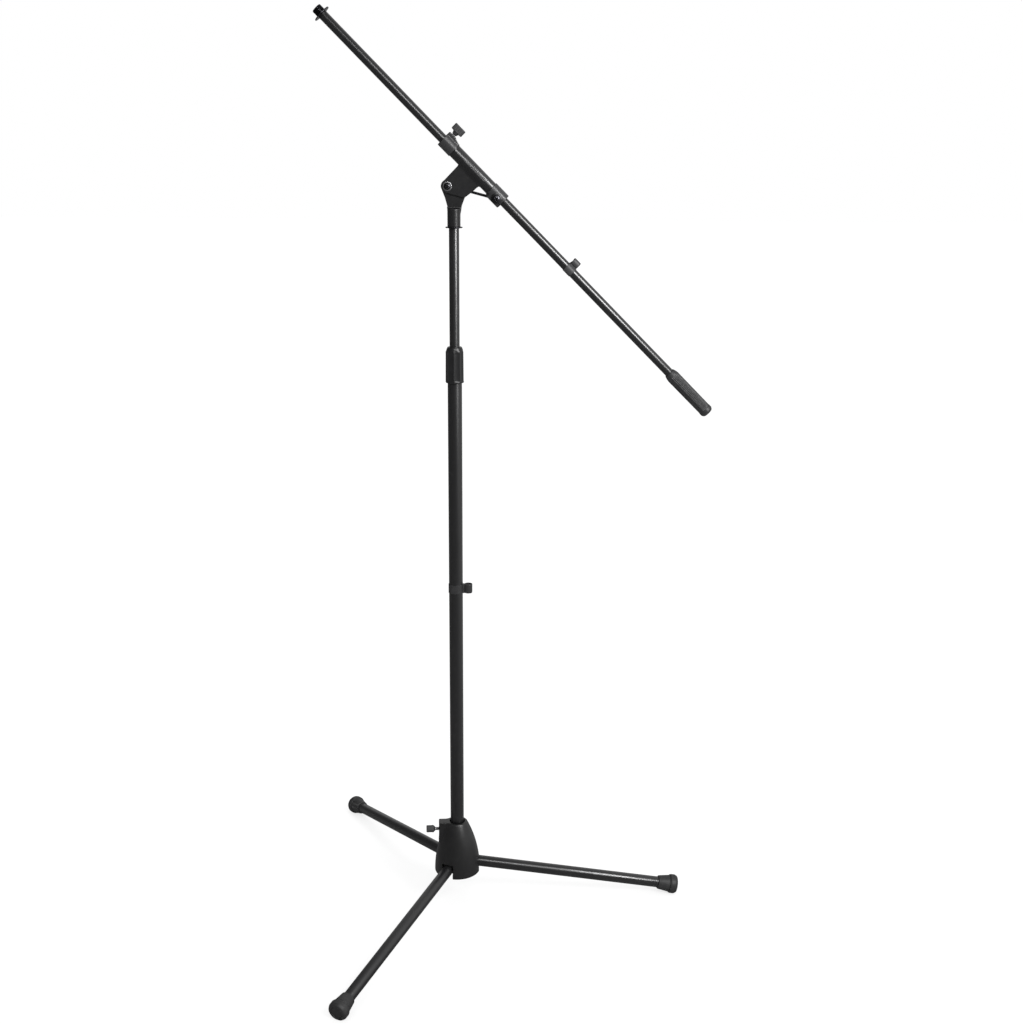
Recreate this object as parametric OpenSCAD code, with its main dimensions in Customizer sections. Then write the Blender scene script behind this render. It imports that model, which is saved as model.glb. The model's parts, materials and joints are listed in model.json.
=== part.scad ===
// Boom microphone stand with a folding tripod base.
// Origin: on the floor, on the axis of the shaft. +Z up, +X towards the counterweight end of the boom.

/* [Shaft] */
// Outer diameter of the lower tube
lower_tube_d = 23; // [22.5:0.1:23.4]
// Outer diameter of the upper tube
upper_tube_d = 16; // [15.8:0.1:16.2]
// Height of the top end of the lower tube
lower_tube_top = 960; // [900:5:1000]
// Height of the top end of the upper tube
upper_tube_top = 1168.7; // [1120:0.1:1240]
// Wall of every steel tube
tube_wall = 1.2; // [1:0.1:1.4]

/* [Tripod base] */
// Direction of the first leg, seen from above
leg_turn = 4; // [0:1:30]
// Outer diameter of the leg tubes
leg_tube_d = 19; // [18:0.5:19.5]
// Distance from a leg's hinge to the end of its foot
leg_length = 370; // [300:0.1:420]
// Slope of a spread leg below the horizontal
leg_tilt = 9.54; // [9.4:0.02:9.7]
// Distance of a leg's hinge from the shaft's axis
leg_pivot_r = 27; // [26:0.5:28]
// Height of the leg hinges
leg_pivot_z = 74.6; // [74.4:0.1:75.4]
// Radius of the base housing at its lower rim
housing_r = 39.4; // [37:0.2:41]
// Height of the top of the base housing
housing_top = 152; // [146:1:160]

/* [Boom] */
// Slope of the boom below the horizontal, towards the counterweight
boom_slope = 45; // [20:1:60]
// Outer diameter of the boom tube
boom_tube_d = 14.5; // [14.3:0.1:14.6]
// Distance from the tilt bolt to the boom's axis
boom_offset = 45; // [44:0.5:48]
// Length of the boom from the tilt bolt to the tip of the thread
tip_length = 318.7; // [280:0.1:360]
// Length of the boom from the tilt bolt to the end of the counterweight
tail_length = 542.7; // [480:0.1:600]
// Major diameter of the microphone thread
mic_thread_d = 15.875; // [14:0.005:16.2]

/* [Hidden] */
$fn = 96;

run_gap = 0.05;          // radial gap of every running fit
lower_r = lower_tube_d / 2;
upper_r = upper_tube_d / 2;
leg_r = leg_tube_d / 2;
boom_r = boom_tube_d / 2;
thread_r = mic_thread_d / 2;

// base housing
housing_foot = 58;       // height of the lower rim
bulge_z = 60;            // height at which the flank stands upright
housing_top_r = 17;
rim_round = 3;
flank_rise = housing_top - bulge_z;
flank_step = housing_r - housing_top_r;
flank_arc_r = (flank_rise * flank_rise + flank_step * flank_step) / (2 * flank_step);
flank_steps = 10;
slot_half = leg_r + 0.8; // half width of a leg slot
slot_roof = leg_r + 0.4;
slot_back = 11;
rib_half = 15;           // half width of the ribs that carry the leg hinges
pin_r = 2.5;
boss_reach = 32;
boss_half = 9;
boss_foot = 116;

// clamp screws
screw_r = 2.95;
screw_hole_r = 3;
pad_r = 2.9;
base_screw_z = 137.4;
base_knob_seat = boss_reach + 6.6;
base_knob_turned = 29;   // the knob's own angle about its screw
base_knob_deep = 12.7;
base_knob_neck = 2.6;
knob_wide = 20;
knob_narrow = 12.2;
boom_knob_deep = 10.6;
boom_knob_neck = 4.7;

// legs
knuckle_r = 9.4;
leg_tube_start = knuckle_r + 0.2;
foot_length = 34.5;
foot_bead = 13.5;
foot_bead_r = 16.5;
foot_start = leg_length - foot_length;

// shaft
tube_foot = 60;
clutch_foot = 926.5 - 960 + lower_tube_top;
clutch_top = clutch_foot + 57;
ferrule_r = lower_r + 1.3;
glide_z = lower_tube_top - 670;
shaft_clip_foot = 572.6;
shaft_clip_height = 15.8;
shaft_hook_x = 20.8;
shaft_hook_bore = 4.3;
stud_flange = 1.6;
stud_flange_r = 13.3;
head_foot = upper_tube_top + stud_flange;

// tilt joint
pivot_x = -9.7;
pivot_z = upper_tube_top + 62.9;
pivot_in_head_z = pivot_z - head_foot;
head_r = 10.2;
tongue_half = 3.4;
tongue_round = 10.2;
disc_thick = 0.8;
slot_in_bracket = tongue_half + disc_thick + 0.1;
bracket_half = 7.3;
bolt_r = 4;
bolt_head_r = 5.4;
washer_r = 7.1;
washer_thick = 1.5;
hub_r = 7.5;
hub_length = 13.2;
tbar_r = 2.1;
tbar_y = 17.5;
tbar_turn = 14.5;        // slope of the cross bar below the horizontal
tbar_reach = 70;

// boom clamp, along the boom from the foot of the tilt bolt
sleeve_r = 10.5;
sleeve_bore = 8.5;
sleeve_start = -40;
sleeve_end = 73;
collar_bore = boom_r + 0.35;
front_collar_start = -54;
front_collar_end = -29.4;
collar_r = 11.7;
rear_collar_start = 49.5;
rear_collar_end = 76.8;
boom_screw_s = -46.5;
boss_top = 15.2;
rear_screw_s = 65.9;
rear_screw_t = boom_offset - 4.9;
bracket_start = -10.4;
bracket_end = 34;

// boom
flange_r = 13.8;
flange_thick = 1.6;
tip_flange = -tip_length + 11.1;
tube_start = tip_flange + flange_thick;
grip_start = tail_length - 90.9;
grip_r = 10.5;
tube_end = tail_length - 12.7;
clip_start = 215.4;
clip_width = 14.9;

// ---- helpers ----

module ring(outer, bore, height) {
  difference() {
    cylinder(r = outer, h = height);
    translate([0, 0, -1])
      cylinder(r = bore, h = height + 2);
  }
}

// a solid or hollow cylinder along +X from start to end
module bar_x(radius, start, end) {
  translate([start, 0, 0])
    rotate([0, 90, 0])
      cylinder(r = radius, h = end - start);
}

module pipe_x(outer, bore, start, end) {
  difference() {
    bar_x(outer, start, end);
    bar_x(bore, start - 1, end + 1);
  }
}

// a cylinder along +Y from start to end
module bar_y(radius, start, end) {
  translate([0, start, 0])
    rotate([-90, 0, 0])
      cylinder(r = radius, h = end - start);
}

// turns a profile drawn as [distance along X, radius] about the X axis
module turned_x(points) {
  rotate([0, 90, 0])
    rotate_extrude()
      polygon([for (p = points) [p[1], p[0]]]);
}

// carries a leg's own frame, origin on its hinge and +X along the leg, to its place
module leg_frame(number) {
  rotate([0, 0, leg_turn + number * 120])
    translate([leg_pivot_r, 0, leg_pivot_z])
      rotate([0, leg_tilt, 0])
        children();
}

// the boom's own frame: origin on the tilt bolt, +X down the boom, +Z away from the shaft
module boom_frame() {
  translate([pivot_x, 0, pivot_z])
    rotate([0, boom_slope, 0])
      children();
}

// the boom's axis as +X, measured from the foot of the tilt bolt
module on_boom() {
  boom_frame()
    translate([0, 0, boom_offset])
      children();
}

function arc(cx, cy, radius, from, to, steps) = [
  for (i = [0 : steps])
    let (a = from + (to - from) * i / steps)
      [cx + radius * cos(a), cy + radius * sin(a)]
];

// rounded plate centred on the origin
module rounded_plate(wide, high, corner) {
  square([wide - 2 * corner, high], center = true);
  square([wide, high - 2 * corner], center = true);
  for (x = [-1, 1], y = [-1, 1])
    translate([x * (wide / 2 - corner), y * (high / 2 - corner)])
      circle(r = corner);
}

// thumb knob: seat at the origin, growing along +Z, wide side along X
module thumb_knob(neck, deep) {
  difference() {
    union() {
      cylinder(r1 = 3.6, r2 = 5.4, h = neck);
      translate([0, 0, neck])
        linear_extrude(deep)
          rounded_plate(knob_wide, knob_narrow, 4);
    }
    translate([0, 0, -1])
      cylinder(r = screw_r, h = neck + 7);
  }
}

// open hook for a cable, its bore along Z, its mouth towards +Y
module cable_hook(outer, bore, width, mouth) {
  difference() {
    cylinder(r = outer, h = width);
    translate([0, 0, -1])
      cylinder(r = bore, h = width + 2);
    translate([-mouth / 2, 0, -1])
      cube([mouth, outer + 1, width + 2]);
  }
}

// ---- base ----

module housing_outline() {
  flank = [
    for (i = [0 : flank_steps])
      let (z = bulge_z + rim_round + (flank_rise - rim_round) * i / flank_steps)
        [
          housing_r - flank_arc_r + sqrt(flank_arc_r * flank_arc_r - (z - bulge_z) * (z - bulge_z)),
          z
        ]
  ];
  polygon(concat(
    [[0, housing_top], [0, housing_foot]],
    arc(housing_r - rim_round, housing_foot + rim_round, rim_round, -90, 0, 6),
    flank
  ));
}

module housing_boss() {
  rotate([0, 0, leg_turn + 180])
    translate([0, 0, boss_foot])
      linear_extrude(housing_top - boss_foot)
        translate([boss_reach / 2, 0])
          rounded_plate(boss_reach, 2 * boss_half, 2.5);
}

module housing_cavity() {
  difference() {
    rotate_extrude()
      polygon([
        [16, housing_foot - 1], [housing_r - 4, housing_foot - 1], [housing_r - 4.4, 84],
        [housing_r - 9, 104], [16, 108]
      ]);
    for (i = [0 : 2])
      rotate([0, 0, leg_turn + i * 120])
        translate([0, -rib_half, housing_foot - 2])
          cube([housing_r + 2, 2 * rib_half, 60]);
  }
}

module base_housing() {
  color([0.09, 0.09, 0.10])
    difference() {
      union() {
        rotate_extrude()
          housing_outline();
        housing_boss();
      }
      translate([0, 0, housing_foot - 1])
        cylinder(r = lower_r + run_gap, h = housing_top);
      translate([0, 0, housing_top - 4])
        cylinder(r = lower_r + 1.6, h = 5);
      housing_cavity();
      for (i = [0 : 2])
        leg_frame(i) {
          translate([-slot_back, -slot_half, -40])
            cube([60, 2 * slot_half, 40 + slot_roof]);
          bar_y(pin_r, -rib_half - 1, rib_half + 1);
        }
      rotate([0, 0, leg_turn + 180])
        translate([0, 0, base_screw_z])
          bar_x(screw_hole_r, lower_r - 2, boss_reach + 2);
    }
}

module leg_hinge_pins() {
  color("silver")
    for (i = [0 : 2])
      leg_frame(i)
        bar_y(pin_r, -rib_half + 0.5, rib_half - 0.5);
}

module at_base_screw() {
  rotate([0, 0, leg_turn + 180])
    translate([0, 0, base_screw_z])
      children();
}

module base_screw_pad() {
  color([0.72, 0.58, 0.30])
    at_base_screw()
      bar_x(pad_r, lower_r + 0.05, lower_r + 2);
}

module base_screw() {
  color("silver")
    at_base_screw()
      bar_x(screw_r, lower_r + 2.05, base_knob_seat + base_knob_neck + 5);
}

module base_screw_knob() {
  color([0.07, 0.07, 0.08])
    at_base_screw()
      translate([base_knob_seat, 0, 0])
        rotate([base_knob_turned, 0, 0])
          rotate([0, 90, 0])
            rotate([0, 0, 90])
              thumb_knob(base_knob_neck, base_knob_deep);
}

// ---- legs ----

module leg_root(number) {
  color([0.10, 0.10, 0.11])
    leg_frame(number)
      difference() {
        union() {
          bar_y(knuckle_r, -7, 7);
          bar_x(leg_r - tube_wall, 4, leg_tube_start + 34);
        }
        bar_y(pin_r + run_gap, -10, 10);
      }
}

module leg_tube(number) {
  color([0.06, 0.06, 0.07])
    leg_frame(number)
      pipe_x(leg_r, leg_r - tube_wall, leg_tube_start, foot_start + 20);
}

module foot(number) {
  bead = foot_start + foot_length - foot_bead;
  corner = foot_bead_r / 3;
  color([0.13, 0.13, 0.13])
    difference() {
      leg_frame(number)
        difference() {
          turned_x(concat(
            [[foot_start, 0], [foot_start, leg_r + 1.7], [foot_start + 1, leg_r + 2.4], [bead, leg_r + 4.9],
             [bead, foot_bead_r - 1.5], [bead + 1.5, foot_bead_r]],
            arc(leg_length - corner, foot_bead_r - corner, corner, 90, 0, 8),
            [[leg_length, 0]]
          ));
          bar_x(leg_r, foot_start - 1, foot_start + 20);
        }
      translate([-500, -500, -20])
        cube([1000, 1000, 20]);
    }
}

module leg_root_right() { leg_root(0); }
module leg_root_back() { leg_root(1); }
module leg_root_front() { leg_root(2); }
module leg_tube_right() { leg_tube(0); }
module leg_tube_back() { leg_tube(1); }
module leg_tube_front() { leg_tube(2); }
module foot_right() { foot(0); }
module foot_back() { foot(1); }
module foot_front() { foot(2); }

// ---- shaft ----

module lower_tube() {
  color([0.06, 0.06, 0.07])
    translate([0, 0, tube_foot])
      ring(lower_r, lower_r - tube_wall, lower_tube_top - tube_foot);
}

module lower_tube_plug() {
  color([0.10, 0.10, 0.10])
    translate([0, 0, tube_foot - 3]) {
      cylinder(r = lower_r - 0.2, h = 3);
      cylinder(r = lower_r - tube_wall, h = 18);
    }
}

module shaft_cable_clip() {
  color([0.16, 0.16, 0.17])
    translate([0, 0, shaft_clip_foot]) {
      ring(lower_r + 0.8, lower_r, shaft_clip_height);
      difference() {
        translate([lower_r + 0.4, -2.4, 0])
          cube([4.6, 4.8, shaft_clip_height]);
        translate([shaft_hook_x, 0, -1])
          cylinder(r = shaft_hook_bore, h = shaft_clip_height + 2);
      }
      translate([shaft_hook_x, 0, 0])
        rotate([0, 0, -90])
          cable_hook(6.8, shaft_hook_bore, shaft_clip_height, 5);
    }
}

module clutch_ferrule() {
  color([0.60, 0.60, 0.62])
    difference() {
      translate([0, 0, clutch_foot + 3.5])
        cylinder(r = ferrule_r, h = lower_tube_top + 8 - clutch_foot - 3.5);
      translate([0, 0, clutch_foot])
        cylinder(r = lower_r, h = lower_tube_top - clutch_foot);
      translate([0, 0, clutch_foot])
        cylinder(r = upper_r + 0.6, h = 60);
    }
}

module clutch_collet() {
  color([0.85, 0.84, 0.80])
    translate([0, 0, lower_tube_top + 8.1])
      difference() {
        cylinder(r1 = ferrule_r - 1, r2 = upper_r + 1.6, h = 11);
        translate([0, 0, -1])
          cylinder(r = upper_r + run_gap, h = 13);
        translate([0, -1, -1])
          cube([20, 2, 13]);
      }
}

module clutch_grip() {
  grip_top_r = 12;
  grip_r_low = 14.7;
  grip_r_high = 14.2;
  flute_count = 18;
  color([0.08, 0.08, 0.09])
    difference() {
      translate([0, 0, clutch_foot])
        rotate_extrude()
          polygon([
            [0, 0], [grip_r_low - 1, 0], [grip_r_low, 1], [grip_r_high, 50], [grip_top_r, 55.5],
            [grip_top_r - 0.8, 57], [0, 57]
          ]);
      translate([0, 0, clutch_foot - 1])
        cylinder(r = ferrule_r + run_gap, h = lower_tube_top + 8.05 - clutch_foot + 1);
      translate([0, 0, lower_tube_top + 8])
        cylinder(r1 = ferrule_r - 0.8, r2 = upper_r + 1.8, h = 11.3);
      translate([0, 0, clutch_foot])
        cylinder(r = upper_r + 0.5, h = 60);
      for (i = [0 : flute_count - 1])
        rotate([0, 0, (i + 0.5) * 360 / flute_count])
          translate([grip_r_low + 0.75, 0, clutch_foot + 5])
            cylinder(r = 1.4, h = 40);
    }
}

module glide_bush() {
  color([0.88, 0.87, 0.82])
    translate([0, 0, glide_z])
      ring(lower_r - tube_wall - run_gap, upper_r + run_gap, 36);
}

module upper_tube() {
  color([0.05, 0.05, 0.06])
    translate([0, 0, glide_z])
      ring(upper_r, upper_r - tube_wall, upper_tube_top - glide_z);
}

module upper_tube_plug() {
  color([0.10, 0.10, 0.10])
    translate([0, 0, glide_z - 4.1]) {
      cylinder(r = 9.6, h = 4);
      cylinder(r = upper_r - tube_wall, h = 16);
    }
}

module shaft_stud() {
  color([0.55, 0.55, 0.57]) {
    translate([0, 0, upper_tube_top - 26])
      cylinder(r = upper_r - tube_wall, h = 27);
    translate([0, 0, upper_tube_top])
      cylinder(r = stud_flange_r, h = stud_flange);
    translate([0, 0, upper_tube_top])
      cylinder(r = thread_r, h = 18);
  }
}

// side view of the head's tongue, measured from its lower end face
module tongue_outline() {
  polygon(concat(
    [[-head_r + 0.7, 18], [-head_r + 0.5, 30], [-13.6, 44]],
    arc(pivot_x, pivot_in_head_z, tongue_round, 190, 66, 16),
    arc(14.5, 50.2, 4.5, 50, -30, 6),
    [[12.3, 32], [head_r + 0.6, 22], [head_r - 0.7, 18]]
  ));
}

module swivel_head() {
  color([0.11, 0.11, 0.12])
    difference() {
      translate([0, 0, head_foot])
        union() {
          rotate_extrude()
            polygon([[0, 0], [head_r, 0], [head_r, 21.5], [head_r - 2.4, 25.5], [5.5, 28.5], [0, 28.5]]);
          translate([0, tongue_half, 0])
            rotate([90, 0, 0])
              linear_extrude(2 * tongue_half)
                tongue_outline();
        }
      translate([0, 0, head_foot - 1])
        cylinder(r = thread_r + 0.04, h = 19);
      translate([pivot_x, 0, pivot_z])
        bar_y(bolt_r + run_gap, -20, 20);
    }
}

// ---- tilt joint ----

module friction_discs() {
  color([0.82, 0.80, 0.72])
    translate([pivot_x, 0, pivot_z])
      for (side = [-1, 1])
        translate([0, side * (tongue_half + 0.05 + disc_thick / 2), 0])
          rotate([90, 0, 0])
            difference() {
              cylinder(r = 9, h = disc_thick, center = true);
              cylinder(r = bolt_r + run_gap, h = disc_thick + 1, center = true);
            }
}

// side view of the bracket's cheeks in the boom's frame
module cheek_outline() {
  polygon(concat(
    [[bracket_start, boom_offset], [-9.8, 3]],
    arc(0, 0, 9.8, 180, 298, 14),
    arc(27.2, 8.6, 3.8, 298, 350, 6),
    [[bracket_end - 1, 22], [bracket_end - 0.6, 30], [bracket_end + 2, boom_offset]]
  ));
}

module boom_bracket() {
  color([0.14, 0.14, 0.15])
    boom_frame()
      difference() {
        union() {
          translate([0, bracket_half, 0])
            rotate([90, 0, 0])
              linear_extrude(2 * bracket_half)
                cheek_outline();
          intersection() {
            translate([0, 0, boom_offset])
              bar_x(sleeve_r + 0.6, bracket_start, bracket_end + 2);
            translate([-50, -50, 0])
              cube([100, 100, boom_offset + 1]);
          }
        }
        translate([-60, -slot_in_bracket, -40])
          cube([120, 2 * slot_in_bracket, 40 + boom_offset - sleeve_r - 0.4]);
        translate([0, 0, boom_offset])
          bar_x(sleeve_r, -80, 80);
        bar_y(bolt_r, -20, 20);
      }
}

module boom_sleeve() {
  color([0.06, 0.06, 0.07])
    on_boom()
      difference() {
        pipe_x(sleeve_r, sleeve_bore, sleeve_start, sleeve_end);
        translate([rear_screw_s, 0, rear_screw_t - boom_offset])
          bar_y(2, -14, -5);
      }
}

module front_collar() {
  color([0.12, 0.12, 0.13])
    on_boom()
      difference() {
        union() {
          bar_x(collar_r, front_collar_start, front_collar_end);
          translate([0, 7, 0])
            rotate([90, 0, 0])
              linear_extrude(14)
                polygon([
                  [front_collar_start, 0], [front_collar_start, boss_top - 0.8],
                  [front_collar_start + 0.8, boss_top],
                  [-43.5, boss_top], [-30.4, sleeve_r + 0.8], [front_collar_end, 0]
                ]);
        }
        bar_x(sleeve_r, sleeve_start, 0);
        bar_x(collar_bore, front_collar_start - 1, 0);
        translate([boom_screw_s, 0, 0])
          cylinder(r = screw_hole_r, h = 30);
      }
}

module rear_collar() {
  color([0.12, 0.12, 0.13])
    on_boom()
      difference() {
        union() {
          bar_x(collar_r, rear_collar_start, rear_collar_end);
          translate([rear_collar_start + 3, -8, -13.3])
            cube([rear_collar_end - rear_collar_start - 3, 16, 13.3]);
          translate([rear_screw_s, 0, rear_screw_t - boom_offset])
            bar_y(7.2, -12.6, 0);
        }
        bar_x(sleeve_r, 0, sleeve_end);
        bar_x(collar_bore, 0, rear_collar_end + 1);
        translate([rear_screw_s, 0, rear_screw_t - boom_offset])
          bar_y(2, -20, 0);
      }
}

module rear_collar_screw() {
  color("silver")
    on_boom()
      translate([rear_screw_s, 0, rear_screw_t - boom_offset]) {
        bar_y(6.5, -15.4, -12.6);
        bar_y(1.98, -13, -8.3);
      }
}

module tilt_bolt() {
  color("silver")
    translate([pivot_x, 0, pivot_z]) {
      bar_y(bolt_r, -bracket_half - washer_thick - 1, 15);
      bar_y(bolt_head_r, -bracket_half - washer_thick - 3.6, -bracket_half - washer_thick);
    }
}

module tilt_washers() {
  color("silver")
    translate([pivot_x, 0, pivot_z])
      for (side = [-1, 1])
        translate([0, side * (bracket_half + washer_thick / 2), 0])
          rotate([90, 0, 0])
            difference() {
              cylinder(r = washer_r, h = washer_thick, center = true);
              cylinder(r = bolt_r, h = washer_thick + 1, center = true);
            }
}

module at_tbar() {
  translate([pivot_x, 0, pivot_z])
    rotate([0, tbar_turn, 0])
      children();
}

module tbar_hub() {
  hub_start = bracket_half + washer_thick + 0.1;
  color([0.55, 0.55, 0.57])
    at_tbar()
      difference() {
        bar_y(hub_r, hub_start, hub_start + hub_length);
        bar_y(bolt_r + run_gap, hub_start - 1, 15.2);
        translate([0, tbar_y, 0])
          bar_x(tbar_r + run_gap, -20, 20);
      }
}

module tbar_rod() {
  color("silver")
    at_tbar()
      translate([0, tbar_y, 0]) {
        bar_x(tbar_r, -hub_r - 2.6, tbar_reach);
        bar_x(2.9, -hub_r - 2.9, -hub_r - 0.1);
        bar_x(2.9, tbar_reach - 2.8, tbar_reach);
      }
}

module at_boom_screw() {
  on_boom()
    translate([boom_screw_s, 0, 0])
      children();
}

module boom_screw_pad() {
  color([0.72, 0.58, 0.30])
    at_boom_screw()
      translate([0, 0, boom_r + 0.08])
        cylinder(r = pad_r, h = 2);
}

module boom_screw() {
  color("silver")
    at_boom_screw()
      translate([0, 0, boom_r + 2.13])
        cylinder(r = screw_r, h = 16.5);
}

module boom_screw_knob() {
  color([0.07, 0.07, 0.08])
    at_boom_screw()
      translate([0, 0, boss_top + 1])
        thumb_knob(boom_knob_neck, boom_knob_deep);
}

// ---- boom ----

module boom_bushes() {
  color([0.88, 0.87, 0.82])
    on_boom() {
      pipe_x(sleeve_bore - run_gap, boom_r + run_gap, -38, -14);
      pipe_x(sleeve_bore - run_gap, boom_r + run_gap, 48, 72);
    }
}

module boom_tube() {
  color([0.05, 0.05, 0.06])
    on_boom()
      pipe_x(boom_r, boom_r - 1, tube_start, tube_end);
}

module boom_tip_stud() {
  color([0.55, 0.55, 0.57])
    on_boom() {
      bar_x(boom_r - 1, tube_start - 1, tube_start + 22);
      bar_x(flange_r, tip_flange, tip_flange + flange_thick);
      bar_x(thread_r, -tip_length, tip_flange + 1);
    }
}

module boom_cable_clip() {
  hook_t = 13.6;
  color([0.20, 0.20, 0.21])
    on_boom() {
      pipe_x(boom_r + 0.9, boom_r, clip_start, clip_start + clip_width);
      difference() {
        translate([clip_start + 1, -2.2, boom_r + 0.4])
          cube([clip_width - 2, 4.4, 3.4]);
        translate([0, 0, hook_t])
          bar_x(3.6, clip_start, clip_start + clip_width);
      }
      translate([clip_start + 1, 0, hook_t])
        rotate([0, -90, 0])
          mirror([0, 0, 1])
            cable_hook(5.6, 3.6, clip_width - 2, 4.2);
    }
}

module counterweight_core() {
  color([0.45, 0.45, 0.46])
    on_boom()
      bar_x(boom_r - 1, grip_start, tube_end);
}

module counterweight_grip() {
  corner = 5;
  color([0.15, 0.15, 0.16])
    on_boom()
      difference() {
        turned_x(concat(
          [[grip_start, 0], [grip_start, boom_r + 1], [grip_start + 5, 9.8], [grip_start + 11, grip_r],
           [tail_length - 9.5, grip_r - 0.3], [tail_length - 8.7, grip_r + 0.1]],
          arc(tail_length - corner, grip_r + 0.1 - corner, corner, 90, 0, 8),
          [[tail_length, 0]]
        ));
        bar_x(boom_r, grip_start - 1, tube_end);
      }
}

base_housing();
leg_hinge_pins();
base_screw_pad();
base_screw();
base_screw_knob();
leg_root_right();
leg_tube_right();
foot_right();
leg_root_back();
leg_tube_back();
foot_back();
leg_root_front();
leg_tube_front();
foot_front();
lower_tube();
lower_tube_plug();
shaft_cable_clip();
clutch_ferrule();
clutch_collet();
clutch_grip();
glide_bush();
upper_tube();
upper_tube_plug();
shaft_stud();
swivel_head();
friction_discs();
boom_bracket();
boom_sleeve();
front_collar();
rear_collar();
rear_collar_screw();
tilt_bolt();
tilt_washers();
tbar_hub();
tbar_rod();
boom_screw_pad();
boom_screw();
boom_screw_knob();
boom_bushes();
boom_tube();
boom_tip_stud();
boom_cable_clip();
counterweight_core();
counterweight_grip();
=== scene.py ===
"""The looks of a boom microphone stand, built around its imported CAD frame.

Every shape is drawn in millimetres in a local frame (a tube's axis, a leg, the boom) and placed by a
matrix that comes from the frame's joints, so that each piece sits where the CAD says.
"""

import json
import math

import bmesh
import bpy
import numpy as np
from mathutils import Matrix, Vector


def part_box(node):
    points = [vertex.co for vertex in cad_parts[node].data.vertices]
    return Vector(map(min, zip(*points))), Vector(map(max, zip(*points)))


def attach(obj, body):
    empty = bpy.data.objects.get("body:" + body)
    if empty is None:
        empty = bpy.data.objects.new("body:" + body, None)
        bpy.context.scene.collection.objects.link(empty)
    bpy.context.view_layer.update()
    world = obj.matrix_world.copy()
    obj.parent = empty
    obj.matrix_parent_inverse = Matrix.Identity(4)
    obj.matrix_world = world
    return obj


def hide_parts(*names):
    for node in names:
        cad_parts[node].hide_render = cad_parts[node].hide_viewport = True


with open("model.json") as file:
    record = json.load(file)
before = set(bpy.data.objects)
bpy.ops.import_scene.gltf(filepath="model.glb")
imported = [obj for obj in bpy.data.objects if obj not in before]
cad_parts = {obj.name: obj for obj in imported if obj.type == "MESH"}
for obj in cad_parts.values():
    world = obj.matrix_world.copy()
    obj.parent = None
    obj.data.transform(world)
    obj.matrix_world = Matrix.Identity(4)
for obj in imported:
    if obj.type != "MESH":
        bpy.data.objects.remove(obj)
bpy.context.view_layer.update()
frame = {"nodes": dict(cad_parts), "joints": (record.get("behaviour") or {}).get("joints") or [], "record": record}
joints = {j["name"]: j for j in frame["joints"]}

MM = 0.001
RANGE_INPUTS = ("From Min", "From Max", "To Min", "To Max")


# ---------------------------------------------------------------- places

def basis(origin, x, y, z):
    """Local millimetres to the row frame's metres."""
    m = Matrix.Identity(4)
    for column, axis in enumerate((x, y, z)):
        for row in range(3):
            m[row][column] = axis[row] * MM
    for row in range(3):
        m[row][3] = origin[row]
    return m


def joint_axis(name):
    return Vector(joints[name]["axis"]).normalized()


X, Y, Z = Vector((1, 0, 0)), Vector((0, 1, 0)), Vector((0, 0, 1))
UPRIGHT = basis((0, 0, 0), X, Y, Z)
SHAFT = basis((0, 0, 0), Z, X, Y)                      # +X up the shaft

BOLT = Vector(joints["boom_tilt"]["pos_m"])
BOOM_DIR = joint_axis("boom_slide")
BOOM_UP = BOOM_DIR.cross(Y)
CLAMP = basis(BOLT, BOOM_DIR, Y, BOOM_UP)              # origin on the tilt bolt, +X down the boom
BOOM_RISE = 45.0
BOOM = basis(BOLT + BOOM_UP * BOOM_RISE * MM, BOOM_DIR, Y, BOOM_UP)
BAR_DIR = joint_axis("tbar_slide")
BAR_UP = BAR_DIR.cross(Y)
CROSS_BAR = basis(BOLT, BAR_DIR, Y, BAR_UP)
HEAD = basis(BOLT, X, Y, Z)

LEG_TILT = math.radians(9.54)
LEGS = ("right", "back", "front")


def leg_place(name):
    hinge = joints["leg_fold_" + name]
    tangent = Vector(hinge["axis"]).normalized()
    outward = tangent.cross(Z)
    along = outward * math.cos(LEG_TILT) - Z * math.sin(LEG_TILT)
    up = outward * math.sin(LEG_TILT) + Z * math.cos(LEG_TILT)
    return basis(Vector(hinge["pos_m"]), along, tangent, up)


BASE_OUT = joint_axis("base_knob_turn")
BASE_SIDE = Z.cross(BASE_OUT)
BASE_SCREW_Z = joints["base_knob_turn"]["pos_m"][2]
BASE_SCREW = basis((0, 0, BASE_SCREW_Z), BASE_SIDE, Z * -1, BASE_OUT)     # +Z out along the screw
BOOM_SCREW_S = -46.5
BOOM_SCREW = BOOM @ Matrix.Translation((BOOM_SCREW_S, 0, 0))


# ---------------------------------------------------------------- materials

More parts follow.
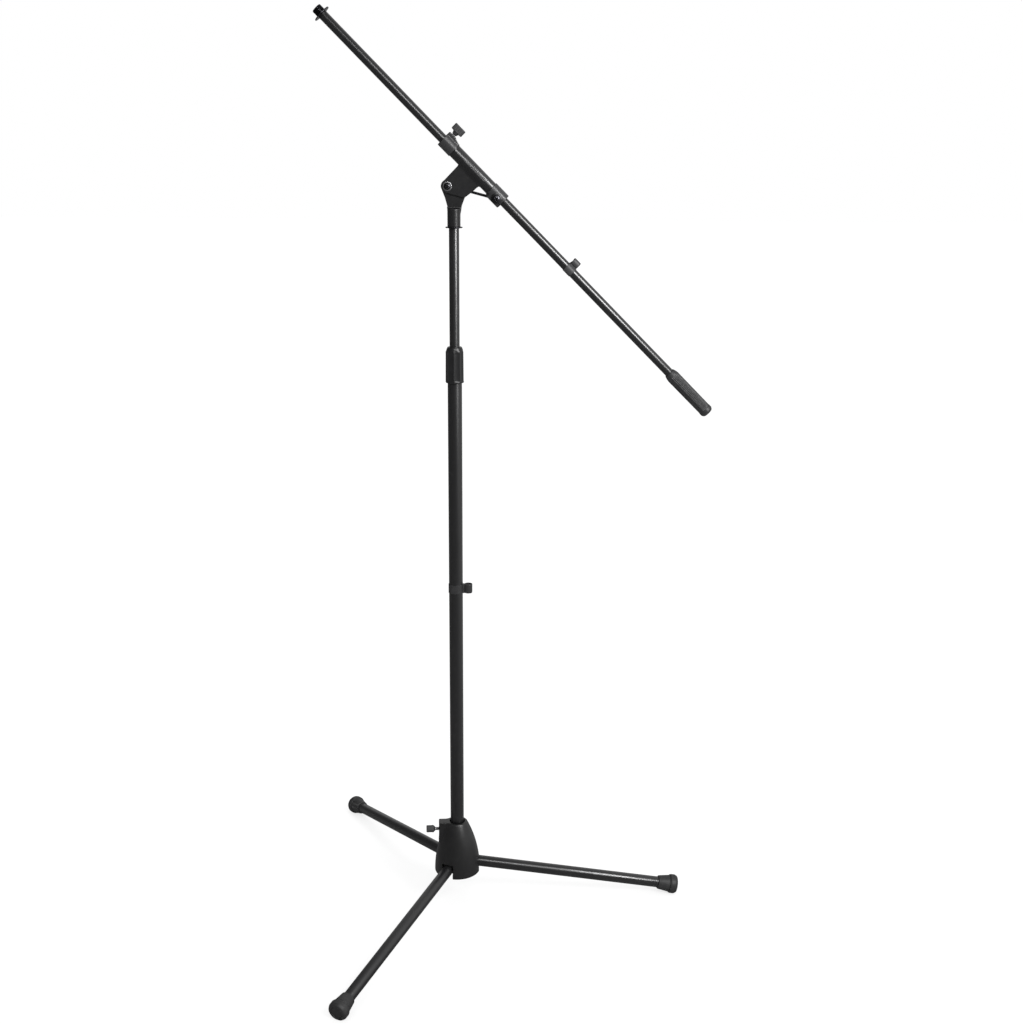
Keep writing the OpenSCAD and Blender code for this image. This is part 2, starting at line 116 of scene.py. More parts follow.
class Paint:
    """A node material with a short way to add and join nodes."""

    def __init__(self, name, color, roughness, metallic=0.0, coat=0.0, coat_roughness=0.1, specular=0.5):
        self.material = bpy.data.materials.new(name)
        self.material.use_nodes = True
        self.tree = self.material.node_tree
        self.shader = self.tree.nodes["Principled BSDF"]
        self.color = self.value((*color, 1.0))
        self.roughness = self.number(roughness)
        self.shader.inputs["Metallic"].default_value = metallic
        self.shader.inputs["Coat Weight"].default_value = coat
        self.shader.inputs["Coat Roughness"].default_value = coat_roughness
        self.shader.inputs["Specular IOR Level"].default_value = specular
        self.normal = None
        self.place = self.node("ShaderNodeTexCoord").outputs["Object"]

    def node(self, kind, **settings):
        node = self.tree.nodes.new(kind)
        for key, value in settings.items():
            setattr(node, key, value)
        return node

    def join(self, source, target):
        self.tree.links.new(source, target)

    def value(self, color):
        node = self.node("ShaderNodeRGB")
        node.outputs[0].default_value = color
        return node.outputs[0]

    def number(self, number):
        node = self.node("ShaderNodeValue")
        node.outputs[0].default_value = number
        return node.outputs[0]

    def noise(self, size_mm, detail=3.0, roughness=0.55, stretch=None):
        """Noise whose features are about size_mm wide; stretch multiplies the coordinates by axis."""
        place = self.place
        if stretch:
            mapping = self.node("ShaderNodeMapping")
            mapping.inputs["Scale"].default_value = stretch
            self.join(place, mapping.inputs["Vector"])
            place = mapping.outputs["Vector"]
        node = self.node("ShaderNodeTexNoise")
        node.inputs["Scale"].default_value = 1.0 / (size_mm * MM)
        node.inputs["Detail"].default_value = detail
        node.inputs["Roughness"].default_value = roughness
        self.join(place, node.inputs["Vector"])
        return node.outputs["Fac"]

    def ramp(self, source, low, high):
        node = self.node("ShaderNodeMapRange", interpolation_type="SMOOTHSTEP")
        for key, number in zip(RANGE_INPUTS, (low, high, 0, 1)):
            node.inputs[key].default_value = number
        self.join(source, node.inputs["Value"])
        return node.outputs["Result"]

    def bump(self, height, depth_mm, strength=1.0):
        node = self.node("ShaderNodeBump")
        node.inputs["Distance"].default_value = depth_mm * MM
        node.inputs["Strength"].default_value = strength
        self.join(height, node.inputs["Height"])
        if self.normal is not None:
            self.join(self.normal, node.inputs["Normal"])
        self.normal = node.outputs["Normal"]

    def tint(self, mask, color, amount=1.0):
        scale = self.node("ShaderNodeMath", operation="MULTIPLY")
        self.join(mask, scale.inputs[0])
        scale.inputs[1].default_value = amount
        node = self.node("ShaderNodeMix", data_type="RGBA")
        self.join(scale.outputs[0], node.inputs["Factor"])
        self.join(self.color, node.inputs["A"])
        node.inputs["B"].default_value = (*color, 1.0)
        self.color = node.outputs["Result"]

    def roughen(self, mask, amount):
        node = self.node("ShaderNodeMath", operation="MULTIPLY_ADD")
        self.join(mask, node.inputs[0])
        node.inputs[1].default_value = amount
        self.join(self.roughness, node.inputs[2])
        self.roughness = node.outputs[0]

    def edges(self, low=0.52, high=0.62):
        """Bright on outer edges of dense meshes."""
        return self.ramp(self.node("ShaderNodeNewGeometry").outputs["Pointiness"], low, high)

    def done(self):
        self.join(self.color, self.shader.inputs["Base Color"])
        self.join(self.roughness, self.shader.inputs["Roughness"])
        if self.normal is not None:
            self.join(self.normal, self.shader.inputs["Normal"])
            self.join(self.normal, self.shader.inputs["Coat Normal"])
        return self.material


def painted_tube():
    """Smooth gloss black powder coat with a cloudy gloss and a little dust."""
    p = Paint("tube_black", (0.0052, 0.0052, 0.0056), 0.27, coat=0.35, coat_roughness=0.19, specular=0.7)
    p.roughen(p.noise(38, 2), 0.10)
    p.tint(p.ramp(p.noise(9, 5), 0.55, 0.80), (0.020, 0.020, 0.021), 0.35)
    return p.done()


def cast_black():
    """Textured black coat on a casting: fine grain, worn a little greyer on its edges."""
    p = Paint("cast_black", (0.0050, 0.0050, 0.0054), 0.28, coat=0.25, coat_roughness=0.22, specular=0.55)
    p.tint(p.ramp(p.noise(14, 4), 0.45, 0.75), (0.009, 0.009, 0.0095), 0.5)
    p.tint(p.edges(0.57, 0.70), (0.040, 0.040, 0.042), 0.35)
    p.roughen(p.noise(5, 4), 0.14)
    p.bump(p.noise(0.55, 3), 0.018, 0.5)
    return p.done()


def housing_black():
    """Satin moulded black of the base housing, with a soft grain and dust near the floor."""
    p = Paint("housing_black", (0.0052, 0.0052, 0.0055), 0.33, coat=0.3, coat_roughness=0.25)
    p.tint(p.ramp(p.noise(22, 4), 0.45, 0.8), (0.011, 0.011, 0.0115), 0.5)
    p.tint(p.edges(), (0.035, 0.035, 0.037), 0.4)
    p.roughen(p.noise(7, 4), 0.12)
    p.bump(p.noise(0.7, 3), 0.02, 0.5)
    return p.done()


def moulded(name, color, roughness, grain_mm, depth_mm, dust=0.4):
    """Matte moulded plastic: fine grain, slightly cloudy colour, polished on its edges."""
    p = Paint(name, color, roughness, specular=0.45)
    light = tuple(min(1.0, c * 1.9 + 0.004) for c in color)
    p.tint(p.ramp(p.noise(11, 4), 0.45, 0.8), light, dust)
    p.tint(p.edges(), tuple(c * 2.2 + 0.015 for c in color), 0.35)
    p.roughen(p.noise(4, 3), 0.10)
    p.bump(p.noise(grain_mm, 3), depth_mm, 0.7)
    return p.done()


def rubber():
    """Black rubber of the feet: dull, dusty, with scuffs on the rims."""
    p = Paint("foot_rubber", (0.012, 0.012, 0.0125), 0.46, specular=0.5)
    p.tint(p.ramp(p.noise(8, 5, 0.65), 0.46, 0.76), (0.026, 0.0255, 0.025), 0.5)
    p.tint(p.edges(0.515, 0.58), (0.06, 0.059, 0.058), 0.4)
    p.roughen(p.noise(2.2, 4), 0.16)
    p.bump(p.noise(0.8, 4), 0.09, 0.6)
    p.bump(p.noise(0.25, 2), 0.03, 0.5)
    return p.done()


def plated(name, color, roughness):
    """Plated steel with fine turned marks and a slight haze."""
    p = Paint(name, color, roughness, metallic=1.0)
    p.roughen(p.noise(3.5, 4), 0.14)
    p.tint(p.ramp(p.noise(6, 4), 0.5, 0.8), tuple(c * 0.7 for c in color), 0.5)
    p.bump(p.noise(0.6, 3, stretch=(1, 1, 6)), 0.012, 0.5)
    return p.done()


def nylon():
    p = Paint("nylon", (0.72, 0.70, 0.62), 0.45)
    p.shader.inputs["Subsurface Weight"].default_value = 0.15
    p.shader.inputs["Subsurface Scale"].default_value = 1.5 * MM
    p.tint(p.ramp(p.noise(7, 3), 0.4, 0.8), (0.60, 0.57, 0.48), 0.4)
    p.bump(p.noise(0.8, 3), 0.03, 0.5)
    return p.done()


def floor_paint():
    p = Paint("studio_floor", (0.86, 0.86, 0.86), 0.75, specular=0.2)
    p.roughen(p.noise(120, 3), 0.05)
    return p.done()


TUBE = painted_tube()
CAST = cast_black()
HOUSING = housing_black()
KNOB = moulded("knob_plastic", (0.020, 0.020, 0.021), 0.48, 0.5, 0.05)
GRIP = moulded("grip_plastic", (0.0065, 0.0065, 0.0070), 0.30, 0.7, 0.03, 0.25)
WEIGHT = moulded("counterweight_plastic", (0.014, 0.014, 0.0148), 0.42, 0.5, 0.05)
CLIP = moulded("clip_plastic", (0.014, 0.014, 0.0147), 0.44, 0.6, 0.04)
RUBBER = rubber()
ZINC = plated("zinc", (0.60, 0.60, 0.61), 0.22)
BLACK_ZINC = plated("black_zinc", (0.055, 0.055, 0.060), 0.26)
STEEL = plated("machined_steel", (0.46, 0.46, 0.47), 0.30)
BRASS = plated("brass", (0.68, 0.50, 0.22), 0.28)
NYLON = nylon()

SLOT_PAINT = {
    "housing": HOUSING, "tube_black": TUBE, "cast_black": CAST, "knob": KNOB, "foot_rubber": RUBBER,
    "clip_plastic": CLIP, "grip_plastic": GRIP, "counterweight": WEIGHT, "zinc": ZINC,
    "black_zinc": BLACK_ZINC, "steel": STEEL, "brass": BRASS, "nylon": NYLON,
}
NODE_SLOT = {s["node"]: s["material_slot"] for s in frame["record"]["subparts"]}
NODE_BODY = {n: b for b, names in frame["record"]["behaviour"]["bodies"].items() for n in names}


# ---------------------------------------------------------------- mesh building

def add_piece(name, vertices, faces, place, node, smooth_angle=40.0, paint=None):
    """Makes the piece that stands for a CAD node and rides on its body."""
    mesh = bpy.data.meshes.new(name)
    mesh.from_pydata([tuple(v) for v in vertices], [], [tuple(f) for f in faces])
    mesh.transform(place)
    bm = bmesh.new()
    bm.from_mesh(mesh)
    bmesh.ops.recalc_face_normals(bm, faces=bm.faces)
    bm.to_mesh(mesh)
    bm.free()
    piece = bpy.data.objects.new(name, mesh)
    bpy.context.scene.collection.objects.link(piece)
    mesh.shade_smooth()
    mesh.set_sharp_from_angle(angle=math.radians(smooth_angle))
    mesh.materials.append(paint or SLOT_PAINT[NODE_SLOT[node]])
    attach(piece, NODE_BODY[node])
    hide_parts(node)
    return piece


def rounded_path(points, steps=5, closed=False):
    """Points are (x, y) or (x, y, fillet radius); each fillet becomes an arc of steps + 1 points."""
    out = []
    count = len(points)
    for i, point in enumerate(points):
        radius = point[2] if len(point) > 2 else 0.0
        here = np.array(point[:2], float)
        if radius <= 0 or (not closed and i in (0, count - 1)):
            out.append(here)
            continue
        before = np.array(points[i - 1][:2], float) - here
        after = np.array(points[(i + 1) % count][:2], float) - here
        a, b = before / np.linalg.norm(before), after / np.linalg.norm(after)
        angle = math.acos(max(-1.0, min(1.0, float(a @ b))))
        if angle > math.pi - 0.02:
            out.append(here)
            continue
        longest = 0.48 * min(np.linalg.norm(before), np.linalg.norm(after))
        reach = min(radius / math.tan(angle / 2), longest)
        radius = reach * math.tan(angle / 2)
        middle = (a + b) / np.linalg.norm(a + b)
        centre = here + middle * radius / math.sin(angle / 2)
        first, last = here + a * reach - centre, here + b * reach - centre
        turn = math.atan2(first[0] * last[1] - first[1] * last[0], float(first @ last))
        for k in range(steps + 1):
            t = turn * k / steps
            c, s = math.cos(t), math.sin(t)
            out.append(centre + np.array([first[0] * c - first[1] * s, first[0] * s + first[1] * c]))
    return np.array(out)


def refined(path, longest):
    """The same path with no stretch longer than longest along x."""
    out = [path[0]]
    for a, b in zip(path[:-1], path[1:]):
        parts = max(1, math.ceil(abs(b[0] - a[0]) / longest))
        out += [a + (b - a) * k / parts for k in range(1, parts + 1)]
    return np.array(out)


def turned(path, closed=False, segments=96, warp=None):
    """Turns a path of (x, radius) about the X axis. A closed path makes a ring or tube.
    warp(x, angle, radius) gives each point's radius."""
    path = np.asarray(path, float)
    angles = np.linspace(0, 2 * math.pi, segments, endpoint=False)
    x = path[:, 0][:, None] + 0 * angles
    r = path[:, 1][:, None] + 0 * angles
    angle = 0 * path[:, 0][:, None] + angles
    if warp:
        r = np.where(r > 1e-6, warp(x, angle, r), r)
    points = np.stack([x, r * np.cos(angle), r * np.sin(angle)], -1)
    vertices, index = [], np.full(r.shape, -1)
    for i in range(len(path)):
        if path[i, 1] < 1e-6:
            index[i] = len(vertices)
            vertices.append(points[i, 0])
        else:
            index[i] = np.arange(len(vertices), len(vertices) + segments)
            vertices.extend(points[i])
    faces = []
    rows = range(len(path)) if closed else range(len(path) - 1)
    for i in rows:
        j = (i + 1) % len(path)
        for k in range(segments):
            n = (k + 1) % segments
            corner = [index[i, k], index[i, n], index[j, n], index[j, k]]
            face = list(dict.fromkeys(int(v) for v in corner))
            if len(face) > 2:
                faces.append(face)
    return vertices, faces


def tube_path(start, end, outer, bore, lip=0.35):
    """The closed section of a tube with slightly rounded ends."""
    return rounded_path([
        (start, bore, lip * 0.5), (start, outer, lip), (end, outer, lip), (end, bore, lip * 0.5),
    ], 3, closed=True)


# ---- solids from distance fields, for castings with fillets

def capped(d, height):
    """A flat field d made into a slab whose half thickness distance is height."""
    outside = np.sqrt(np.maximum(d, 0) ** 2 + np.maximum(height, 0) ** 2)
    return np.minimum(np.maximum(d, height), 0) + outside


def box(p, centre, half, corner=0.0):
    q = [np.abs(p[i] - centre[i]) - half[i] + corner for i in range(3)]
    outside = np.sqrt(sum(np.maximum(v, 0) ** 2 for v in q))
    return outside + np.minimum(np.maximum(np.maximum(q[0], q[1]), q[2]), 0) - corner


def rod(p, axis, centre, radius, start, end, corner=0.0):
    """A cylinder along an axis (0, 1 or 2) through centre, from start to end along it."""
    a, b = [i for i in range(3) if i != axis]
    d = np.sqrt((p[a] - centre[a]) ** 2 + (p[b] - centre[b]) ** 2) - radius + corner
    height = np.abs(p[axis] - (start + end) / 2) - (end - start) / 2 + corner
    return capped(d, height) - corner


def outline(u, v, points):
    """Signed distance to a closed polygon in the plane of u and v."""
    points = np.asarray(points, float)
    best = np.full(u.shape, 1e9)
    inside = np.zeros(u.shape, bool)
    for a, b in zip(points, np.roll(points, -1, 0)):
        e = b - a
        t = np.clip(((u - a[0]) * e[0] + (v - a[1]) * e[1]) / (e @ e), 0, 1)
        best = np.minimum(best, (u - a[0] - t * e[0]) ** 2 + (v - a[1] - t * e[1]) ** 2)
        if a[1] != b[1]:
            crosses = (a[1] > v) != (b[1] > v)
            inside ^= crosses & (u < a[0] + (v - a[1]) / (b[1] - a[1]) * e[0])
    return np.where(inside, -1, 1) * np.sqrt(best)


def blend_in(a, b, fillet):
    """Union with a fillet."""
    h = np.clip(0.5 + 0.5 * (b - a) / fillet, 0, 1)
    return b * (1 - h) + a * h - fillet * h * (1 - h)


def cut(a, b, edge=0.3):
    """a without b, its edges broken by about edge."""
    return -blend_in(-a, b, edge)


def cast(lo, hi, step, field):
    """The surface of field(p) = 0 in the box lo..hi, as vertices and quads."""
    axes = [np.arange(a, b + step, step) for a, b in zip(lo, hi)]
    f = field(np.meshgrid(*axes, indexing="ij")).astype(np.float64)
    f = np.where(np.abs(f) < 1e-7, 1e-7, f)
    size = np.array(f.shape) - 1
    total, hits = np.zeros((*size, 3)), np.zeros(size)
    spans = lambda shift: tuple(slice(s, s + n) for s, n in zip(shift, size))
    for axis in range(3):
        others = [i for i in range(3) if i != axis]
        for bits in ((0, 0), (0, 1), (1, 0), (1, 1)):
            low = [0, 0, 0]
            for other, bit in zip(others, bits):
                low[other] = bit
            high = list(low)
            high[axis] = 1
            a, b = f[spans(low)], f[spans(high)]
            crossed = (a < 0) != (b < 0)
            where = np.where(crossed, a / np.where(crossed, a - b, 1), 0)
            hits += crossed
            for i in range(3):
                total[..., i] += np.where(crossed, where if i == axis else low[i], 0)
    active = hits > 0
    number = np.full(size, -1)
    number[active] = np.arange(active.sum())
    cells = np.argwhere(active)
    vertices = (cells + total[active] / hits[active][:, None]) * step + np.array([a[0] for a in axes])
    faces = []
    for axis in range(3):
        b, c = (axis + 1) % 3, (axis + 2) % 3
        low = [slice(1, n) for n in size]
        low[axis] = slice(0, size[axis])
        high = list(low)
        high[axis] = slice(1, size[axis] + 1)
        here, there = f[tuple(low)] < 0, f[tuple(high)] < 0
        for flip, mask in ((False, here & ~there), (True, ~here & there)):
            spot = np.argwhere(mask) + 1
            spot[:, axis] -= 1
            corner = []
            for db, dc in ((1, 1), (0, 1), (0, 0), (1, 0)):
                q = spot.copy()
                q[:, b] -= db
                q[:, c] -= dc
                corner.append(number[q[:, 0], q[:, 1], q[:, 2]])
            quads = np.stack(corner, 1)
            faces.append(quads[:, ::-1] if flip else quads)
    return vertices, np.concatenate(faces)


def relaxed(piece, times, factor=0.5):
    """Evens out the small steps that a sampled field leaves."""
    smoother = piece.modifiers.new("relax", "SMOOTH")
    smoother.factor = factor
    smoother.iterations = times
    return piece


# ---------------------------------------------------------------- tubes and shaft

def paint_cad_nodes():
    """The pieces that stay as the CAD made them are mostly inside; each still gets its finish."""
    for name, node in frame["nodes"].items():
        node.data.materials.clear()
        node.data.materials.append(SLOT_PAINT[NODE_SLOT[name]])


LOWER_RADII = (11.5, 10.3)
UPPER_RADII = (8.0, 6.8)


def shaft_tubes():
    lower_lo, lower_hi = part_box("lower_tube")
    add_piece("lower_tube_shell", *turned(tube_path(lower_lo.z / MM, lower_hi.z / MM, *LOWER_RADII), True),
              SHAFT, "lower_tube")
    upper_lo, upper_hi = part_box("upper_tube")
    add_piece("upper_tube_shell", *turned(tube_path(upper_lo.z / MM, upper_hi.z / MM, *UPPER_RADII), True),
              SHAFT, "upper_tube")


CLUTCH_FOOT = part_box("clutch_grip")[0].z / MM
CLUTCH_LENGTH = 57.0


def faceted(count, depth, turn, fade):
    """A warp that presses count shallow hollows into a grip, with crisp lands between them."""
    def warp(x, angle, r):
        phase = (angle - turn) * count / (2 * math.pi)
        from_land = np.abs(phase - np.round(phase)) * 2
        hollow = 1 - (1 - from_land) ** 2
        return r - depth * fade(x) * hollow
    return warp


def step_between(x, a, b):
    t = np.clip((x - a) / (b - a), 0, 1)
    return t * t * (3 - 2 * t)


def clutch_grip():
    foot, top = CLUTCH_FOOT, CLUTCH_FOOT + CLUTCH_LENGTH
    outer = rounded_path([
        (foot, 12.9, 0.3), (foot, 14.0, 0.5), (foot + 1.2, 14.75, 0.8), (top - 7.5, 14.4, 3.0),
        (top - 2.0, 12.3, 1.2), (top - 1.0, 11.9, 0.5), (top, 11.2, 0.6), (top, 8.45, 0.4),
        (top - 9, 8.45), (top - 9, 11.0), (top - 16, 12.9),
    ], 5, closed=True)
    fade = lambda x: step_between(x, foot + 1.5, foot + 4.0) * (1 - step_between(x, top - 9.0, top - 3.5))
    body = faceted(9, 1.35, math.radians(-13.6), fade)
    warp = lambda x, a, r: np.where(r > 12.95, body(x, a, r), r)
    path = refined(np.vstack([outer, outer[:1]]), 1.5)[:-1]
    add_piece("clutch_grip_shell", *turned(path, True, 288, warp), SHAFT, "clutch_grip", 30)


def thread_warp(root, pitch, start, end):
    """Cuts a helical vee down to the root radius between start and end."""
    def warp(x, angle, r):
        phase = x / pitch - angle / (2 * math.pi)
        vee = np.abs(phase - np.floor(phase) - 0.5) * 2
        depth = np.clip(vee * 1.25 - 0.12, 0, 1)
        inside = step_between(x, start, start + pitch * 0.7) * (1 - step_between(x, end - pitch * 0.7, end))
        return r - (r - root) * depth * inside
    return warp


def stud(name, place, node, tip, flange_near, flange_far, flange_r, major_r, pitch, plug_r, plug_end):
    """A threaded stud with a thin flange; x runs from the stud's tip to the plug's end."""
    path = rounded_path([
        (tip, 0), (tip, major_r - 0.9, 0.5), (tip + 1.1, major_r, 0.3), (flange_near, major_r),
        (flange_near, flange_r, 0.35), (flange_far, flange_r, 0.35), (flange_far, plug_r),
        (plug_end, plug_r, 0.4), (plug_end, 0),
    ], 4)
    threaded = refined(path, pitch / 14)
    cutter = thread_warp(major_r - 0.62 * pitch, pitch, tip + 0.2, flange_near - 0.3)

    def warp(x, angle, r):
        on_thread = (x < flange_near) & (r > plug_r) & (r < major_r + 0.01)
        return np.where(on_thread, cutter(x, angle, r), r)

    return add_piece(name, *turned(threaded, False, 128, warp), place, node, 35)


def shaft_top():
    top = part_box("upper_tube")[1].z / MM
    up = basis((0, 0, 0), Z * -1, X, Y * -1)
    stud("shaft_stud_threaded", up, "shaft_stud",
         -(top + 18), -(top + 1.6), -top, 13.3, 7.9375, 0.94, 6.8, -(top - 26))


# ---------------------------------------------------------------- swivel head and boom clamp

CHEEK_HALF = 7.3
TONGUE_HALF = 3.4


def arc(cx, cy, radius, start, end, steps):
    return [(cx + radius * math.cos(math.radians(a)), cy + radius * math.sin(math.radians(a)))
            for a in np.linspace(start, end, steps + 1)]


def swivel_head():
    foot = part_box("swivel_head")[0].z / MM - BOLT.z / MM
    axis_x = -BOLT.x / MM
    tongue = ([(axis_x - 9.5, foot + 18), (axis_x - 9.7, foot + 30), (axis_x - 13.6, foot + 44)]
              + arc(0, 0, 10.2, 190, 66, 16) + arc(axis_x + 14.5, foot + 50.2, 4.5, 50, -30, 6)
              + [(axis_x + 12.3, foot + 32), (axis_x + 10.8, foot + 22), (axis_x + 9.5, foot + 18)])

    def field(p):
        barrel = rod(p, 2, (axis_x, 0, 0), 10.2, foot, foot + 27, 0.4)
        rise = p[2] - foot - 26.6
        d = np.sqrt((p[0] - axis_x) ** 2 + p[1] ** 2)
        wedge = np.maximum(np.abs(p[1]) - 9.9 + 2.8 * rise, d - 10.2 - 0.2 * np.maximum(rise, 0)) * 0.34
        wedge = np.maximum(wedge, np.abs(rise - 3.5) - 5.5)
        blade = capped(outline(p[0], p[2], tongue) + 0.5, np.abs(p[1]) - TONGUE_HALF + 0.5) - 0.5
        solid = blend_in(np.minimum(barrel, wedge), blade, 0.8)
        solid = cut(solid, rod(p, 1, (0, 0, 0), 4.05, -20, 20))
        return cut(solid, rod(p, 2, (axis_x, 0, 0), 7.98, foot - 5, foot + 18.5))

    piece = add_piece("swivel_head_casting",
                      *cast((-12, -11.5, foot - 1), (31, 11.5, 12), 0.45, field), HEAD, "swivel_head", 60)
    relaxed(piece, 3)


CLAMP_START, CLAMP_END = -10.4, 34.0


def boom_bracket():
    cheek = ([(CLAMP_START, BOOM_RISE), (-9.8, 3)] + arc(0, 0, 9.8, 180, 298, 14)
             + arc(27.2, 8.6, 3.8, 298, 350, 6)
             + [(CLAMP_END - 1.0, 22), (CLAMP_END - 0.6, 30), (CLAMP_END + 2, BOOM_RISE)])

    def field(p):
        cheeks = capped(outline(p[0], p[2], cheek) + 0.6, np.abs(p[1]) - CHEEK_HALF + 0.6) - 0.6
        boss = rod(p, 1, (0, 0, 0), 9.6, -CHEEK_HALF - 0.02, CHEEK_HALF + 0.02, 0.5)
        saddle = rod(p, 0, (0, 0, BOOM_RISE), 11.1, CLAMP_START, CLAMP_END + 2, 0.4)
        saddle = cut(saddle, box(p, (0, 0, BOOM_RISE + 21.2), (90, 40, 20)), 0.4)
        solid = blend_in(np.minimum(cheeks, boss), saddle, 3.2)
        slot_top = BOOM_RISE - 10.9
        slot = box(p, (0, 0, slot_top - 60), (80, TONGUE_HALF + 0.9, 60), 0.3)
        solid = cut(solid, slot, 0.4)
        solid = cut(solid, rod(p, 0, (0, 0, BOOM_RISE), 10.5, -80, 80), 0.2)
        return cut(solid, rod(p, 1, (0, 0, 0), 4.0, -20, 20))

    piece = add_piece("boom_bracket_casting",
                      *cast((-12, -12.5, -11), (38, 12.5, 48), 0.42, field), CLAMP, "boom_bracket", 60)
    relaxed(piece, 3)


def sleeve():
    add_piece("boom_sleeve_tube", *turned(tube_path(-40, 73, 10.5, 8.5), True), BOOM, "boom_sleeve")


def front_collar():
    boss = [(-54, -3), (-54, 14.4), (-53.2, 15.2), (-43.5, 15.2), (-31.0, 11.0), (-29.4, 8), (-29.4, -3)]

    def field(p):
        d = np.sqrt(p[1] ** 2 + p[2] ** 2)
        ring = capped(d - 11.7 + 0.6, np.abs(p[0] + 41.7) - 12.3 + 0.6) - 0.6
        lug = capped(outline(p[0], p[2], boss) + 1.0, np.abs(p[1]) - 7 + 1.0) - 1.0
        seat = rod(p, 2, (BOOM_SCREW_S, 0, 0), 6.4, 0, 15.2, 0.7)
        solid = blend_in(ring, np.minimum(lug, seat), 1.2)
        solid = cut(solid, rod(p, 0, (0, 0, 0), 10.5, -40, 0), 0.15)
        solid = cut(solid, rod(p, 0, (0, 0, 0), 7.6, -60, 0), 0.4)
        return cut(solid, rod(p, 2, (BOOM_SCREW_S, 0, 0), 3.0, 0, 30), 0.3)

    piece = add_piece("front_collar_casting",
                      *cast((-55, -13, -13), (-28, 13, 16.5), 0.3, field), BOOM, "front_collar", 60)
    relaxed(piece, 2)


REAR_SCREW_S, REAR_SCREW_T = 65.9, -4.9


def rear_collar():
    def field(p):
        d = np.sqrt(p[1] ** 2 + p[2] ** 2)
        ring = capped(d - 11.7 + 0.6, np.abs(p[0] - 63.15) - 13.65 + 0.6) - 0.6
        lug = box(p, (64.65, 0, -6.65), (12.15, 8, 6.65), 1.4)
        seat = rod(p, 1, (REAR_SCREW_S, 0, REAR_SCREW_T), 7.2, -12.6, 0, 0.5)
        solid = blend_in(blend_in(ring, lug, 2.0), seat, 1.0)
        solid = cut(solid, rod(p, 0, (0, 0, 0), 10.5, 0, 73), 0.15)
        solid = cut(solid, rod(p, 0, (0, 0, 0), 7.6, 0, 90), 0.4)
        return cut(solid, rod(p, 1, (REAR_SCREW_S, 0, REAR_SCREW_T), 2.0, -20, 0), 0.2)

    piece = add_piece("rear_collar_casting",
                      *cast((48, -13.5, -14.3), (78, 13, 13), 0.33, field), BOOM, "rear_collar", 60)
    relaxed(piece, 2)


def dome_head(p, centre_y, radius, rise, rim):
    """A domed screw head whose crown points to -Y, with a flat rim below the crown."""
    d = np.sqrt(p[0] ** 2 + p[2] ** 2)
    ball_r = (radius ** 2 + rise ** 2) / (2 * rise)
    ball = np.sqrt(d ** 2 + (p[1] - centre_y - ball_r + rise) ** 2) - ball_r
    base = capped(d - radius, np.abs(p[1] - centre_y - rim / 2) - rim / 2)
    return np.minimum(np.maximum(ball, p[1] - centre_y), base)


def cross_recess(p, face_y, depth):
    """A cross recess for a driver, cut from the crown towards +Y."""
    near = p[1] - face_y
    taper = np.clip(near / depth, 0, 1)
    arm = lambda u, v: np.maximum(np.abs(u) - 3.1 + 1.6 * taper, np.abs(v) - 0.75 + 0.25 * taper)
    return np.maximum(np.minimum(arm(p[0], p[2]), arm(p[2], p[0])), near - depth)


def rear_screw():
    turn = Matrix.Rotation(math.radians(20), 4, "Y")
    place = BOOM @ Matrix.Translation((REAR_SCREW_S, 0, REAR_SCREW_T)) @ turn

    def field(p):
        head = dome_head(p, -13.9, 6.3, 2.0, 1.3) - 0.12
        shank = rod(p, 1, (0, 0, 0), 1.95, -13.5, -8.4, 0.2)
        return cut(np.minimum(head, shank), cross_recess(p, -16.2, 2.3), 0.2)

    piece = add_piece("rear_collar_screw_cross", *cast((-7, -16.6, -7), (7, -8, 7), 0.22, field),
                      place, "rear_collar_screw", 50)
    relaxed(piece, 2)


def tilt_bolt():
    seat = -CHEEK_HALF - 1.5

    def field(p):
        head = dome_head(p, seat - 1.5, 5.3, 2.1, 1.5) - 0.1
        shank = rod(p, 1, (0, 0, 0), 3.98, seat - 0.5, 15.0, 0.4)
        return cut(np.minimum(head, shank), cross_recess(p, seat - 3.9, 2.3), 0.2)

    piece = add_piece("tilt_bolt_domed", *cast((-7.4, seat - 4.6, -7.4), (7.4, 15.4, 7.4), 0.26, field),
                      HEAD @ Matrix.Rotation(math.radians(12), 4, "Y"), "tilt_bolt", 50)
    relaxed(piece, 2)


def tilt_washers():
    vertices, faces = [], []
    for start, end in ((-CHEEK_HALF - 1.5, -CHEEK_HALF), (CHEEK_HALF, CHEEK_HALF + 1.5)):
        ring = [(start, 4.0, 0.15), (start, 7.1, 0.45), (end, 7.1, 0.3), (end, 4.0, 0.15)]
        v, f = turned(rounded_path(ring, 3, closed=True), True, 72)
        faces += [[i + len(vertices) for i in face] for face in f]
        vertices += v
    add_piece("tilt_washer_pair", vertices, faces, basis(BOLT, Y, Z, X), "tilt_washers", 35)


BAR_Y = 17.5
HUB_START = CHEEK_HALF + 1.6
HUB_LENGTH = 13.2


